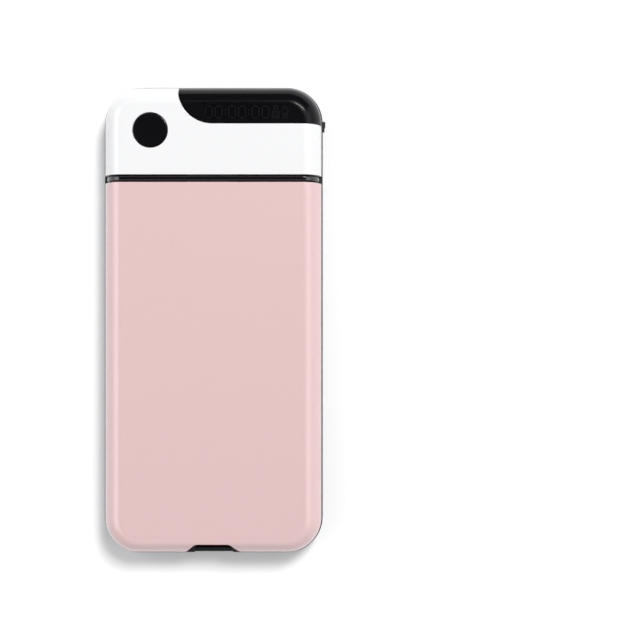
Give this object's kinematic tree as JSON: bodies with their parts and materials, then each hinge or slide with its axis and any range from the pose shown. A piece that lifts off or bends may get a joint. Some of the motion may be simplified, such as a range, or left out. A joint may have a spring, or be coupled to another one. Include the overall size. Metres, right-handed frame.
{
  "type": "timed lock container",
  "caption": "Phone-sized timer lock box: sliding pink lid over a phone bay, white head with a round button and a wrapped display window, and a motor-driven bolt.",
  "frame": {"origin": "middle of the flat back face, on the surface that the box lies on", "axes": "+X to the right of the front view, +Y towards the timer head, +Z out of the front"},
  "size_m": [0.0992, 0.209, 0.0221],
  "materials": {
    "pink_satin": "satin painted moulding with a soft pearl",
    "white_gloss": "glossy white moulding",
    "black_gloss": "piano black moulding",
    "black_satin": "satin black moulding",
    "black_shell": "fine textured black moulding",
    "smoked_lens": "smoked gloss window",
    "grey_felt": "short grey felt",
    "green_board": "green solder mask",
    "chip_black": "moulded chip cases",
    "display_glass": "dot display glass",
    "white_nylon": "natural nylon",
    "foil_pouch": "embossed foil pouch",
    "stamped_steel": "stamped nickel-plated steel",
    "ground_steel": "ground and plated steel",
    "zinc_screw": "zinc-plated screws",
    "brass_gear": "machined brass",
    "black_rubber": "soft black rubber"
  },
  "bodies": {
    "case": {"back_shell": "black_shell", "inner_tray": "black_shell", "tray_pad": "grey_felt", "tray_screws": "zinc_screw", "waist_frame": "black_gloss", "head_cover": "white_gloss", "display_lens": "smoked_lens", "button_switch": "black_satin", "main_board": "green_board", "board_parts": "chip_black", "board_screws": "zinc_screw", "display_panel": "display_glass", "display_frame": "white_nylon", "hall_sensor": "chip_black", "buzzer": "chip_black", "battery_cell": "foil_pouch", "battery_tape": "grey_felt", "charge_board": "green_board", "usb_shell": "stamped_steel", "usb_tongue": "chip_black", "charge_board_screws": "zinc_screw", "flap_anchor": "black_rubber", "motor_can": "stamped_steel", "gearbox_case": "brass_gear", "motor_cradle": "white_nylon", "cradle_screws": "zinc_screw", "bar_guide": "black_shell", "guide_screws": "zinc_screw", "case_screws": "zinc_screw"},
    "lid": {"lid_shell": "pink_satin", "strike_plate": "stamped_steel", "strike_screws": "zinc_screw", "lid_magnet": "ground_steel", "lid_pads": "grey_felt"},
    "button": {"button_cap": "black_satin", "switch_plunger": "white_nylon"},
    "flap": {"port_flap": "black_rubber"},
    "bolt": {"lock_bar": "white_nylon", "lock_pin": "ground_steel"},
    "drive_gear": {"pinion": "brass_gear", "output_shaft": "ground_steel"}
  },
  "joints": [
    {"name": "lid_slide", "type": "slide", "parent": "case", "child": "lid", "axis": [0, -1, 0], "range_m": [0, 0.165]},
    {"name": "button_press", "type": "slide", "parent": "case", "child": "button", "axis": [0, 0, -1], "range_m": [0, 0.0005], "stiffness_N_per_m": 1500, "springref_m": -0.0002},
    {"name": "flap_hinge", "type": "hinge", "parent": "case", "child": "flap", "pos_m": [0.0485, 0.0761, 0.00798], "axis": [0, 0, -1], "range_deg": [0, 100]},
    {"name": "bolt_slide", "type": "slide", "parent": "case", "child": "bolt", "axis": [1, 0, 0], "range_m": [0, 0.005]},
    {"name": "pinion_spin", "type": "hinge", "parent": "case", "child": "drive_gear", "pos_m": [0, 0.0695, 0.0075], "axis": [0, 1, 0], "range_deg": [0, 70]}
  ],
  "couplings": [
    {"joint": "pinion_spin", "follows": "bolt_slide", "rad_per_m": 238.1}
  ]
}
